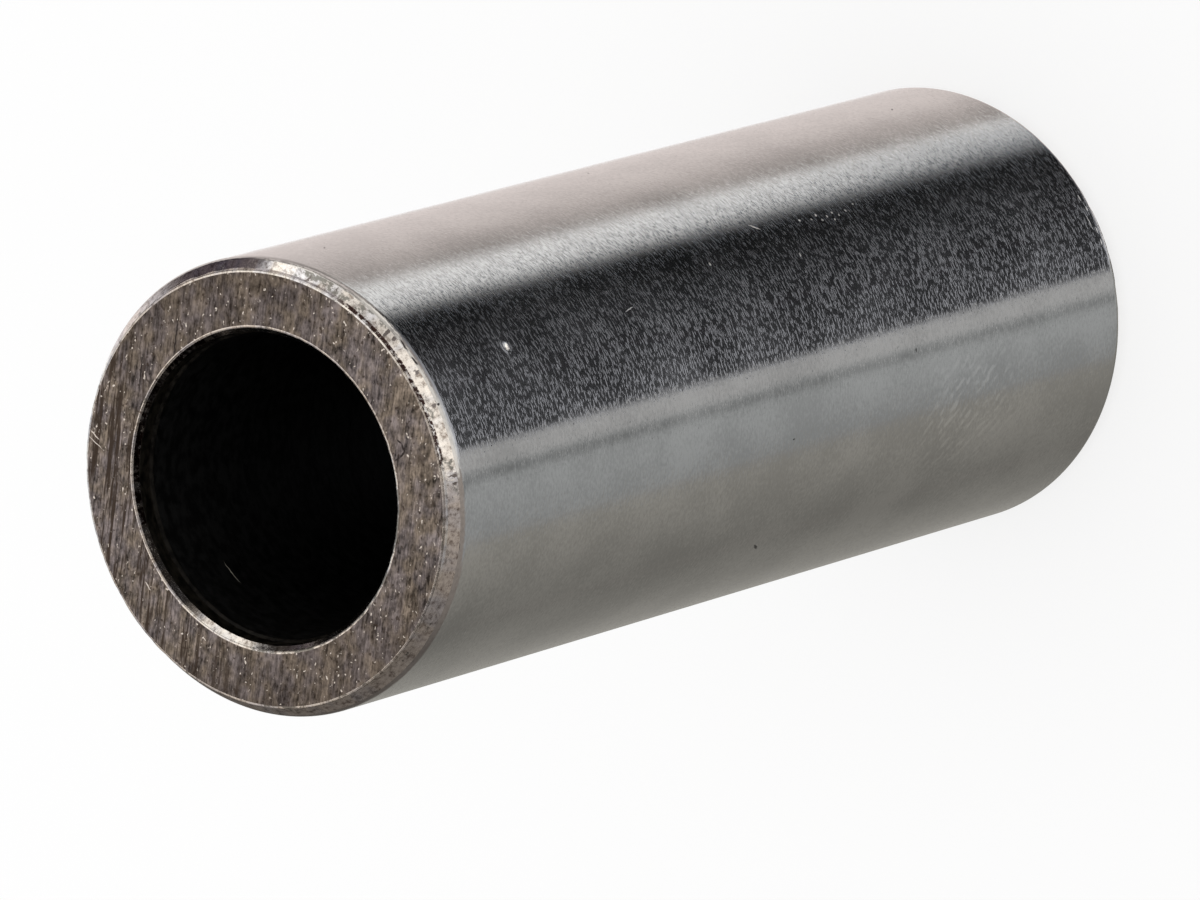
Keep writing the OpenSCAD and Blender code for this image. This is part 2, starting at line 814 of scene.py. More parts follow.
    def browned(
        self,
        bench: NodeBench,
        parts: bpy.types.Node,
        fine: object,
        deep: object,
        body: object,
    ) -> bpy.types.NodeSocket:
        """Lays grime on the sides of the face, and brown stain in its deep lines.

        Args:
            bench: the material's nodes.
            parts: the node that gives X, Y and Z in millimetres.
            fine: the fine lines.
            deep: the deep lines.
            body: the colour of the ground steel.

        Returns:
            The colour with them.
        """
        aside = bench.math("ABSOLUTE", parts.outputs["X"])
        body = bench.mix(bench.spread(aside, *self.grimy_from, 0.0, self.grime), body, self.stain)
        whole = bench.spread(fine, *self.broken, *self.broken_share)
        filled = bench.math("MULTIPLY", bench.spread(deep, *self.deepened), whole)
        where = bench.spread(parts.outputs["Y"], *self.stained_from, *self.stained)
        return bench.mix(bench.math("MULTIPLY", filled, where), body, self.stain)

    def specked(self, bench: NodeBench, place: object, body: object) -> bpy.types.NodeSocket:
        """Lays dark pits, and bright specks that are painted glints, on the face.

        Args:
            bench: the material's nodes.
            place: the place in millimetres.
            body: the colour without them.

        Returns:
            The colour with them.
        """
        pits = bench.spread(bench.grain(place, self.pits), *self.pitted, 0.0, self.pit_share)
        body = bench.mix(pits, body, self.stain)
        # painted glints: bright specks of colour stand in for glints off tiny facets of the ground face
        begin = bench.spread(bench.grain(place, self.crowd), *self.crowded, *self.speck_from)
        dots = bench.grain(bench.shaken(place, *self.speck_shake), self.specks, self.turn_deg)
        over = bench.math("SUBTRACT", dots, begin)
        return bench.mix(bench.math("MULTIPLY", over, self.speck_gain, clamp=True), body, self.glint)


@dataclass(frozen=True, kw_only=True)
class TurnedSteel(Finish):
    """Turned steel: fine rings from the tool, streaks on the slope, dull flakes and a darker stretch, which
    is painted shade on the land.

    Attributes:
        radius: the radius that the surface is rolled out at, in millimetres.
        length: the pin's length, in millimetres.
        tint: the pattern of the change of tint.
        tinted: where the cool tint begins and where it is full.
        cool: the cool tint.
        streaks: the pattern of the streaks.
        greys: how dark or light they make the steel.
        patches: the pattern of worn patches.
        flakes: the pattern of flakes in them.
        flaked: where that pattern is weakest and where it is strongest.
        flaked_gain: how far it weakens or strengthens the patches.
        flaked_deg: a stretch with more flakes, in degrees round the pin.
        flaked_more: how many more it has.
        dull: the flakes' colour.
        dull_from: where a worn patch begins to be a flake.
        dull_over: how soft the flake's edge is.
        dull_share: how much of a flake shows.
        scale: the colour of the darker stretch, painted shade on the land in the gap beside the face's
            edge.
        darkened_deg: the darker stretch, in degrees round the pin.
        darkened_from: where the streaks are free of it and where it is full.
        soft_deg: how far a stretch's start and its end fade, to either side.
        worn_from: where a worn patch begins to be rougher and where it stops.
        worn_rough: how far it is rougher.
        rings: the pattern of the tool's rings.
        ring_depth: how deep they are, in millimetres.
        flake_depth: how deep the flakes are, in millimetres.
    """

    radius: float
    length: float
    tint: Grain = Grain((1.6, 0.8, 1.0), shift=31.0)
    tinted: Span = (0.42, 0.66)
    cool: Colour = (0.72, 0.73, 0.77)
    streaks: Grain = Grain((4.5, 6.5, 1.0), shift=37.0, detail=4.0, roughness=0.75)
    greys: Stops = ((0.34, (0.34, 0.3, 0.28)), (0.5, (1.0, 1.0, 1.0)), (0.66, (1.25, 1.25, 1.25)))
    patches: Grain = Grain((1.3, 1.3, 3.0), shift=5.0, detail=4.0, roughness=0.65)
    flakes: Grain = Grain((7.0, 7.0, 11.0), shift=17.0, detail=3.0, roughness=0.7)
    flaked: Span = (0.3, 0.6)
    flaked_gain: Span = (0.75, 1.12)
    flaked_deg: Span | None = None
    flaked_more: float = 0.14
    dull: Colour = (0.27, 0.27, 0.25)
    dull_from: float = 0.62
    dull_over: float = 0.1
    dull_share: float = 0.9
    # the darker stretch's colour: painted shade on the land
    scale: Colour = (0.06, 0.034, 0.03)
    darkened_deg: Span | None = None
    darkened_from: Span = (0.58, 0.48)
    soft_deg: Span = (3.0, 5.0)
    worn_from: Span = (0.5, 0.7)
    worn_rough: float = 0.15
    rings: Grain = Grain((1.2, 1.2, 26.0))
    ring_depth: float = 0.0012
    flake_depth: float = 0.0018

    def draw(self, bench: NodeBench, shader: bpy.types.Node) -> None:
        """Adds tool rings, streaks, flakes, the darker stretch and the marks.

        Args:
            bench: the material's nodes.
            shader: its Principled shader.
        """
        place = bench.place_mm()
        flat = bench.rolled_mm(place, self.radius, self.length)
        around = bench.around_deg(place)
        streaks = bench.grain(flat, self.streaks)
        tint = bench.spread(bench.grain(flat, self.tint), *self.tinted)
        colour = bench.mix(tint, self.colour, self.cool)
        colour = bench.mix(1.0, colour, bench.ramp(streaks, self.greys), "MULTIPLY")
        flakes = bench.grain(place, self.flakes)
        gain = bench.spread(flakes, *self.flaked, *self.flaked_gain)
        worn = bench.math("MULTIPLY", bench.grain(place, self.patches), gain)
        if self.flaked_deg is not None:
            more = self.stretch(bench, around, self.flaked_deg)
            worn = bench.math("MULTIPLY_ADD", more, self.flaked_more, worn)
        dull = bench.spread(worn, self.dull_from, self.dull_from + self.dull_over, 0.0, self.dull_share)
        colour = bench.mix(dull, colour, self.dull)
        # darker stretch: on the land it is painted shade, standing in for the shadow in the gap beside the
        # face's edge
        if self.darkened_deg is not None:
            where = self.stretch(bench, around, self.darkened_deg)
            left = bench.math("MULTIPLY", where, bench.spread(streaks, *self.darkened_from))
            colour = bench.mix(left, colour, self.scale)
        bench.feed(shader.inputs["Base Color"], self.marked(bench, flat, colour))
        rough = bench.spread(worn, *self.worn_from, self.roughness, self.roughness + self.worn_rough)
        bench.feed(shader.inputs["Roughness"], rough)
        normal = bench.bump(bench.grain(place, self.rings), self.ring_depth)
        bench.feed(shader.inputs["Normal"], bench.bump(flakes, self.flake_depth, normal))

    def stretch(self, bench: NodeBench, around: object, limits: Span) -> bpy.types.NodeSocket:
        """Marks out a stretch of the way round.

        Args:
            bench: the material's nodes.
            around: the angle round the pin, in degrees.
            limits: where the stretch starts and stops.

        Returns:
            1 inside the stretch and 0 outside, with soft ends.
        """
        start, stop = limits
        soft_start, soft_stop = self.soft_deg
        begun = bench.spread(around, start - soft_start, start + soft_start)
        lasts = bench.spread(around, stop - soft_stop, stop + soft_stop, 1.0, 0.0)
        return bench.math("MULTIPLY", begun, lasts)


@dataclass(frozen=True, kw_only=True)
class HeatScale(Finish):
    """Dark scale left by hardening, where nothing was ground afterwards; the recess and the bore get it in
    a near-black colour that is partly painted shade.

    Attributes:
        radius: the surface's radius, in millimetres.
        length: the pin's length, in millimetres.
        shine: how strongly the scale mirrors.
        rings: the pattern of drawn-out rings.
        ringed: where they are smoothest and where they are roughest.
        ring_rough: how far they are rougher.
        ring_depth: how deep they are, in millimetres.
        blots: the pattern of the blots.
        blotted: where they are darkest and where they are lightest.
        shades: the darkest and the lightest shade.
    """

    radius: float
    length: float
    shine: float = 0.1
    rings: Grain = Grain((0.8, 0.8, 6.0), shift=2.0, detail=3.0)
    ringed: Span = (0.3, 0.7)
    ring_rough: float = 0.12
    ring_depth: float = 0.003
    blots: Grain = Grain((3.0, 3.0, 5.0), shift=8.0, detail=3.0, roughness=0.7)
    blotted: Span = (0.4, 0.62)
    shades: Span = (0.4, 2.2)

    def draw(self, bench: NodeBench, shader: bpy.types.Node) -> None:
        """Adds drawn-out rings, blots and the marks.

        Args:
            bench: the material's nodes.
            shader: its Principled shader.
        """
        place = bench.place_mm()
        flat = bench.rolled_mm(place, self.radius, self.length)
        rings = bench.grain(place, self.rings)
        blots = bench.spread(bench.grain(place, self.blots), *self.blotted)
        darkest, lightest = (shaded(self.colour, share) for share in self.shades)
        colour = bench.mix(blots, darkest, lightest)
        bench.feed(shader.inputs["Base Color"], self.marked(bench, flat, colour))
        rough = bench.spread(rings, *self.ringed, self.roughness, self.roughness + self.ring_rough)
        bench.feed(shader.inputs["Roughness"], rough)
        bench.feed(shader.inputs["Normal"], bench.bump(rings, self.ring_depth))
        shader.inputs["Specular IOR Level"].default_value = self.shine


@dataclass(frozen=True)
class Corner:
    """A corner of the pin's half section.

    Attributes:
        r: its radius from the axis, in millimetres.
        z: its height, in millimetres.
        zone: the cut of the stretch that follows.
        round_mm: the radius that breaks the corner.
        edge: the cut of the broken corner itself.
        steps: how many flats stand for the break.
        chip_mm: how deep the edge is chipped.
    """

    r: float
    z: float
    zone: Zone
    round_mm: float
    edge: Zone
    steps: int = 3
    chip_mm: float = 0.0


@dataclass(frozen=True)
class Ring:
    """One ring of the turned mesh.

    Attributes:
        r: its radius from the axis, in millimetres.
        z: its height, in millimetres.
        normal: the way its surface faces, outwards and upwards.
        zone: the cut of the stretch that follows.
        chip: the way that chips take off its edge, outwards and upwards, in millimetres.
        chip_row: which row of chips it has.
    """

    r: float
    z: float
    normal: tuple[float, float]
    zone: Zone
    chip: tuple[float, float] = (0.0, 0.0)
    chip_row: int = 0


@dataclass(frozen=True)
class Nick:
    """A small dent in the running surface, with a raised rim. Sizes are in millimetres.

    Attributes:
        around_deg: how far round it is, from the -Y side towards +X.
        below: how far it is below the upper end.
        half_round: half its size round the pin.
        half_long: half its size along the pin.
        depth: how deep it is.
        rim: how high the rim is.
        rim_place: where the rim is highest, in half sizes from the middle.
        rim_width: how wide the rim is, in half sizes.
        reach: how far the rim reaches, in half sizes from the middle.
        ring_step: how far apart the mesh's rings are there.
        slope_step: the step that slopes are measured over.
    """

    around_deg: float = 17.85
    below: float = 3.99
    half_round: float = 0.14
    half_long: float = 0.12
    depth: float = 0.05
    rim: float = 0.008
    rim_place: float = 1.1
    rim_width: float = 0.28
    reach: float = 1.9
    ring_step: float = 0.04
    slope_step: float = 0.01

    def height(self, arc: float, below: float, radius: float) -> float:
        """Gives how far the surface stands out at a place.

        Args:
            arc: millimetres round from the -Y side.
            below: millimetres below the upper end.
            radius: the surface's radius.

        Returns:
            The height, below zero in the dent.
        """
        across = (arc - math.radians(self.around_deg) * radius) / self.half_round
        along = (below - self.below) / self.half_long
        away = math.hypot(across, along)
        if away > self.reach:
            return 0.0
        dent = -self.depth * (1.0 - away * away) ** 2 if away < 1.0 else 0.0
        return dent + self.rim * math.exp(-(((away - self.rim_place) / self.rim_width) ** 2))

    def slopes(self, arc: float, below: float, radius: float) -> tuple[float, float]:
        """Gives how steeply the surface rises at a place.

        Args:
            arc: millimetres round from the -Y side.
            below: millimetres below the upper end.
            radius: the surface's radius.

        Returns:
            The rise in a millimetre, round the pin and down it.
        """
        step = self.slope_step
        here = self.height(arc, below, radius)
        beside = self.height(arc + step, below, radius)
        under = self.height(arc, below + step, radius)
        return (beside - here) / step, (under - here) / step

    def heights(self) -> list[float]:
        """Lists where the mesh needs rings, in millimetres below the upper end."""
        half = round(self.half_long * self.reach / self.ring_step)
        return [self.below + self.ring_step * k for k in range(-half, half + 1)]


@dataclass
class GudgeonPin:
    """The pin, turned from one half section. Sizes are in millimetres.

    Attributes:
        length: its length.
        outer_r: the running surface's radius.
        bore_r: the bore's radius.
        recess_w: how far the recess behind each mouth is cut into the bore wall.
        recess_h: how far into the bore it reaches.
        mouth_break: the size of the edge break round each mouth.
        land_h: the height of the land beside each end face.
        land_w: how far the land leans outwards.
        lead_h: the height of the lead chamfer.
        lead_w: its width.
        blend_r: the radius that blends it into the running surface.
        edge_r: the rounding of plain edges.
        burr_w: the width of the bevel at the face's outer edge.
        burr_deg: how steep that bevel is.
        land_edge_r: the rounding between the land and the lead.
        mouth_edge_r: the rounding between the face and the mouth.
        untrue: how far the upper lead is raised on one side, where it was turned out of true.
        untrue_around_deg: where it is raised most, from the -Y side towards +X.
        untrue_below: how far below the upper end the rise begins, is full and stops.
        chip: how deep the edges are chipped.
        land_chip: how deep the edge between the land and the lead is chipped.
        chips_per_mm: how close together the chips are.
        chip_rows_apart: how far one row's pattern is from the next.
        chip_gain: how strongly the pattern chips an edge.
        chip_bias: how far an edge is chipped in the pattern's middle.
        around: how many flats go round the pin.
        edge_steps: how many flats stand for the edges on either side of the face.
        blend_steps: how many stand for the blend.
        longest_step: how far apart the mesh's rings are at most.
        nick: the dent in the running surface.
        finishes: the finish of each cut.
    """

    length: float
    outer_r: float
    bore_r: float
    recess_w: float = 0.07
    recess_h: float = 0.55
    mouth_break: float = 0.15
    land_h: float = 0.13
    land_w: float = 0.03
    lead_h: float = 0.36
    lead_w: float = 0.27
    blend_r: float = 0.35
    edge_r: float = 0.035
    burr_w: float = 0.06
    burr_deg: float = 15.0
    land_edge_r: float = 0.12
    mouth_edge_r: float = 0.11
    untrue: float = 0.16
    untrue_around_deg: float = 55.0
    untrue_below: tuple[float, float, float] = (0.05, 0.35, 1.0)
    chip: float = 0.012
    land_chip: float = 0.018
    chips_per_mm: float = 3.2
    chip_rows_apart: float = 7.3
    chip_gain: float = 1.8
    chip_bias: float = 0.1
    around: int = 720
    edge_steps: int = 4
    blend_steps: int = 8
    longest_step: float = 2.0
    nick: Nick = field(default_factory=Nick)
    finishes: dict[Zone, Finish] = field(default_factory=dict)

    def end_corners(self) -> list[Corner]:
        """Lists the corners of one end, from the bore wall round to the running surface.

        Returns:
            The corners of the lower end.
        """
        recess_r = self.bore_r + self.recess_w
        mouth_r = recess_r + self.mouth_break
        land_r = self.outer_r - self.lead_w
        face_r = land_r - self.land_w
        lead_z = self.land_h + self.lead_h
        edge = self.edge_r
        burr_h = self.burr_w * math.tan(math.radians(self.burr_deg))
        return [
            Corner(self.bore_r, self.recess_h + self.recess_w, Zone.RECESS, edge, Zone.RECESS),
            Corner(recess_r, self.recess_h, Zone.RECESS, edge, Zone.RECESS),
            Corner(recess_r, self.mouth_break, Zone.MOUTH, edge, Zone.RECESS, chip_mm=self.chip),
            Corner(mouth_r, 0.0, Zone.FACE, self.mouth_edge_r, Zone.BURR, self.edge_steps, self.chip),
            Corner(face_r - self.burr_w, 0.0, Zone.BURR, edge, Zone.BURR),
            Corner(face_r, burr_h, Zone.LAND, edge, Zone.LAND, self.edge_steps, self.chip),
            Corner(land_r, self.land_h, Zone.LEAD, self.land_edge_r, Zone.LAND, chip_mm=self.land_chip),
            Corner(self.outer_r, lead_z, Zone.RUNNING, self.blend_r, Zone.RUNNING, self.blend_steps),
        ]

    def corners(self) -> list[Corner]:
        """Lists the corners of the whole half section, in order, so that it closes on the bore wall.

        Returns:
            The corners of both ends.
        """
        lower = self.end_corners()
        after = [c.zone for c in lower[-2::-1]] + [Zone.BORE]
        upper = [
            Corner(c.r, self.length - c.z, zone, c.round_mm, c.edge, c.steps, c.chip_mm)
            for c, zone in zip(reversed(lower), after, strict=True)
        ]
        return lower + upper

    @staticmethod
    def arc(before: Corner, corner: Corner, after: Corner, row: int) -> list[Ring]:
        """Breaks a corner with an arc.

        Args:
            before: the corner that comes before it.
            corner: the corner.
            after: the corner that comes after it.
            row: which row of chips it has.

        Returns:
            The rings of the arc.
        """
        here = Vector((corner.r, corner.z))
        way_in = (here - Vector((before.r, before.z))).normalized()
        way_out = (Vector((after.r, after.z)) - here).normalized()
        turn = way_in.angle_signed(way_out)
        first = Vector((way_in.y, -way_in.x))
        side = 1.0 if turn < 0 else -1.0
        reach = corner.round_mm * math.tan(abs(turn) / 2)
        middle = here - way_in * reach - first * corner.round_mm * side
        chip = -corner.chip_mm * (first + Vector((way_out.y, -way_out.x))).normalized()
        rings = []
        for step in range(corner.steps + 1):
            normal = Matrix.Rotation(-turn * step / corner.steps, 2) @ first
            spot = middle + normal * corner.round_mm * side
            zone = corner.edge if step < corner.steps else corner.zone
            rings.append(Ring(spot.x, spot.y, tuple(normal), zone, tuple(chip), row))
        return rings

    def between(self, last: Ring, target: Ring) -> list[Ring]:
        """Divides the straight stretch between two corners, finely where the nick is.

        Args:
            last: the ring that the stretch starts from.
            target: the ring that it runs to.

        Returns:
            The rings in between.
        """
        gap = math.hypot(target.r - last.r, target.z - last.z)
        cuts = max(1, math.ceil(gap / self.longest_step))
        shares = [cut / cuts for cut in range(1, cuts)]
        if last.zone is Zone.RUNNING:
            heights = [self.length - below for below in self.nick.heights()]
            fine = [(z - last.z) / (target.z - last.z) for z in heights]
            shares = sorted([s for s in shares if not min(fine) < s < max(fine)] + fine)
        return [
            Ring(
                last.r + (target.r - last.r) * share,
                last.z + (target.z - last.z) * share,
                last.normal,
                last.zone,
            )
            for share in shares
        ]

    def rings(self) -> list[Ring]:
        """Lists the rings of the closed half section, in order.

        Returns:
            The rings of every corner and of the stretches between them.
        """
        corners = self.corners()
        count = len(corners)
        arcs = [self.arc(corners[i - 1], c, corners[(i + 1) % count], i) for i, c in enumerate(corners)]
        made: list[Ring] = []
        for i, arc in enumerate(arcs):
            made += arc
            made += self.between(arc[-1], arcs[(i + 1) % count][0])
        return made

    def chipped(self, turn: float, ring: Ring) -> float:
        """Gives how far an edge is chipped at one place.

        Args:
            turn: the angle about the axis, from +X, in radians.
            ring: the edge's ring.

        Returns:
            From 0, whole, to 1.
        """
        reach = self.outer_r * self.chips_per_mm
        row = self.chip_rows_apart * ring.chip_row
        spot = Vector((math.cos(turn) * reach, math.sin(turn) * reach, row))
        return max(0.0, min(1.0, self.chip_gain * noise.noise(spot) + self.chip_bias))

    def raised(self, turn: float, ring: Ring) -> float:
        """Gives how far the upper lead chamfer, turned a little out of true, is raised at one place.

        Args:
            turn: the angle about the axis, from +X, in radians.
            ring: the place's ring.

        Returns:
            The rise, in millimetres, and 0 away from the chamfer.
        """
        below = self.length - ring.z
        start, full, stop = self.untrue_below
        if ring.r < self.outer_r - self.lead_w - self.land_w or not start < below < stop:
            return 0.0
        aside = turn + math.pi / 2 - math.radians(self.untrue_around_deg)
        return self.untrue * min(1.0, (below - start) / (full - start)) * max(0.0, math.cos(aside))

    def point(self, turn: float, ring: Ring) -> tuple[Vector, Vector]:
        """Works out one point of the mesh.

        Args:
            turn: the angle about the axis, from +X, in radians.
            ring: the point's ring.

        Returns:
            The point in millimetres, and its normal.
        """
        out = Vector((math.cos(turn), math.sin(turn), 0.0))
        up = Vector((0.0, 0.0, 1.0))
        r, z = ring.r, ring.z + self.raised(turn, ring)
        normal = out * ring.normal[0] + up * ring.normal[1]
        if any(ring.chip):
            depth = self.chipped(turn, ring)
            r += ring.chip[0] * depth
            z += ring.chip[1] * depth
        elif ring.zone is Zone.RUNNING:
            arc = (turn + math.pi / 2) * self.outer_r
            below = self.length - z
            round_slope, down_slope = self.nick.slopes(arc, below, self.outer_r)
            r += self.nick.height(arc, below, self.outer_r)
            along = Vector((-out.y, out.x, 0.0))
            normal = (normal - along * round_slope + up * down_slope).normalized()
        return out * r + up * z, normal

    def build(self) -> bpy.types.Object:
        """Turns the half section into a closed mesh and lays its finishes on it.

        Returns:
            The pin's object.
        """
        rings = self.rings()
        count = len(rings)
        turns = [2 * math.pi * k / self.around - math.pi for k in range(self.around)]
        points = []
        normals = []
        for ring in rings:
            for turn in turns:
                spot, normal = self.point(turn, ring)
                points.append(spot * MM)
                normals.append(normal)
        faces = []
        for i in range(count):
            here, after = i * self.around, (i + 1) % count * self.around
            for k in range(self.around):
                beside = (k + 1) % self.around
                faces.append((here + k, here + beside, after + beside, after + k))
        mesh = bpy.data.meshes.new(f"{NODE}_turned")
        mesh.from_pydata(points, [], faces)
        self.unroll(mesh, rings)
        mesh.shade_smooth()
        mesh.normals_split_custom_set_from_vertices(normals)
        piece = bpy.data.objects.new(f"{NODE}_turned", mesh)
        bpy.context.scene.collection.objects.link(piece)
        self.dress(piece, rings)
        return piece

    def unroll(self, mesh: bpy.types.Mesh, rings: list[Ring]) -> None:
        """Lays the surface out flat: the turn across, the way along the half section upwards.

        Args:
            mesh: the pin's mesh.
            rings: its rings.
        """
        count = len(rings)
        ways = [0.0]
        for i in range(count):
            here, after = rings[i], rings[(i + 1) % count]
            ways.append(ways[-1] + math.hypot(after.r - here.r, after.z - here.z))
        layer = mesh.uv_layers.new(name="OFBake")
        spots = []
        for i in range(count):
            low, high = ways[i] / ways[-1], ways[i + 1] / ways[-1]
            for k in range(self.around):
                left, right = k / self.around, (k + 1) / self.around
                spots += [left, low, right, low, right, high, left, high]
        layer.uv.foreach_set("vector", spots)

    def dress(self, piece: bpy.types.Object, rings: list[Ring]) -> None:
        """Gives each stretch of the surface the finish of its cut.

        Args:
            piece: the pin's object.
            rings: its rings.
        """
        for zone in Zone:
            piece.data.materials.append(self.finishes[zone].material())
        kinds = [ring.zone.value for ring in rings for _ in range(self.around)]
        piece.data.polygons.foreach_set("material_index", kinds)
        piece.data.update()


@dataclass(frozen=True)
class Viewpoint:
    """Where the camera stands.

    Attributes:
        elevation_deg: how far it looks down.
        roll_deg: how far it is turned about its own axis.
        lens_mm: the lens's focal length.
        sensor_mm: the sensor's width.
        picture_px: the picture's width and height.
        top_end_px: where the middle of the pin's upper end is in the picture.
        distance_radii: how far that is from the camera, in radii of the pin.
        clip: the nearest and farthest that it sees, in shares of that distance.
    """

    elevation_deg: float = 53.45
    roll_deg: float = -105.8
    lens_mm: float = 408.5
    sensor_mm: float = 36.0
    picture_px: tuple[int, int] = (1200, 900)
    top_end_px: tuple[float, float] = (263.8, 489.9)
    distance_radii: float = 58.067
    clip: Span = (0.01, 100.0)

    def place(self, pin: GudgeonPin) -> bpy.types.Object:
        """Makes the camera.

        Args:
            pin: the pin that it looks at.

        Returns:
            The camera's object.
        """
        lift = math.radians(self.elevation_deg)
        roll = math.radians(self.roll_deg)
        ahead = Vector((0.0, math.cos(lift), -math.sin(lift)))
        level_right = Vector((1.0, 0.0, 0.0))
        level_up = Vector((0.0, math.sin(lift), math.cos(lift)))
        right = level_right * math.cos(roll) + level_up * math.sin(roll)
        up = level_up * math.cos(roll) - level_right * math.sin(roll)
        deep = self.distance_radii * pin.outer_r * MM
        per_px = deep * self.sensor_mm / self.lens_mm / self.picture_px[0]
        across = (self.top_end_px[0] - self.picture_px[0] / 2) * per_px
        down = (self.top_end_px[1] - self.picture_px[1] / 2) * per_px
        top_end = Vector((0.0, 0.0, pin.length * MM))
        data = bpy.data.cameras.new("camera")
        data.lens = self.lens_mm
        data.sensor_width = self.sensor_mm
        data.clip_start, data.clip_end = (deep * share for share in self.clip)
        camera = bpy.data.objects.new("camera", data)
        turned = Matrix((right, up, -ahead)).transposed()
        camera.matrix_world = turned.to_4x4()
        camera.location = top_end - ahead * deep - right * across + up * down
        bpy.context.scene.collection.objects.link(camera)
        bpy.context.scene.camera = camera
        return camera


class Tint(Enum):
    """The colours of the cloths, cards and lamps in the light tent."""

    WHITE = (1.0, 1.0, 1.0)
    CREAM = (1.0, 0.95, 0.89)
    ROSE = (1.0, 0.9, 0.87)
    KHAKI = (1.0, 0.97, 0.89)
    BROWN = (1.0, 0.88, 0.8)
    COOL = (0.96, 0.99, 1.0)
    BLUE = (0.6, 0.76, 1.0)
    SLATE = (0.9, 0.92, 1.0)
    PLUM = (1.0, 0.8, 0.95)


@dataclass(frozen=True)
class Panel:
    """One panel of the light tent, as the pin sees it. Angles are in degrees.

    Attributes:
        name: what it is.
        azimuth: where it starts and ends, round the pin from the camera's side towards +X.
        lift: its lowest and highest elevation.
        levels: how bright it is where it starts and where it ends.
        tint: its colour.
        fades: how far its start and its end fade, to either side.
        lift_fade: how far its lower and upper edges fade, to either side.
        from_eaves: whether its elevations count from the sloping eaves.
    """

    name: str
    azimuth: Span
    lift: Span
    levels: Span
    tint: Tint
    fades: Span = (3.0, 3.0)
    lift_fade: float = 4.0
    from_eaves: bool = False

    def paint(self, bench: NodeBench, azimuth: object, lift: object, under: object) -> bpy.types.NodeSocket:
        """Lays the panel over what is behind it.

        Args:
            bench: the world's nodes.
            azimuth: the angle round the pin.
            lift: the elevation.
            under: the colour behind.

        Returns:
            The colour with the panel.
        """
        start, stop = self.azimuth
        low, high = self.lift
        fade_in, fade_out = self.fades
        half = (stop - start) / 2
        aside = bench.math("SUBTRACT", azimuth, start + half)
        aside = bench.math("WRAP", aside, HALF_TURN_DEG, -HALF_TURN_DEG)
        edges = (
            bench.spread(aside, -half - fade_in, -half + fade_in),
            bench.spread(aside, half - fade_out, half + fade_out, 1.0, 0.0),
            bench.spread(lift, low - self.lift_fade, low + self.lift_fade),
            bench.spread(lift, high - self.lift_fade, high + self.lift_fade, 1.0, 0.0),
        )
        shown = edges[0]
        for edge in edges[1:]:
            shown = bench.math("MULTIPLY", shown, edge)
        lit = bench.node("ShaderNodeVectorMath", operation="SCALE")
        lit.inputs[0].default_value = self.tint.value
        bench.feed(lit.inputs["Scale"], bench.spread(aside, -half, half, *self.levels, kind="LINEAR"))
        return bench.mix(shown, under, lit.outputs[0])


ALL_ROUND = (-200.0, 200.0)
LOW = (-100.0, -25.0)
BELT = (-25.0, -6.0)
WALL = (-6.0, 60.0)

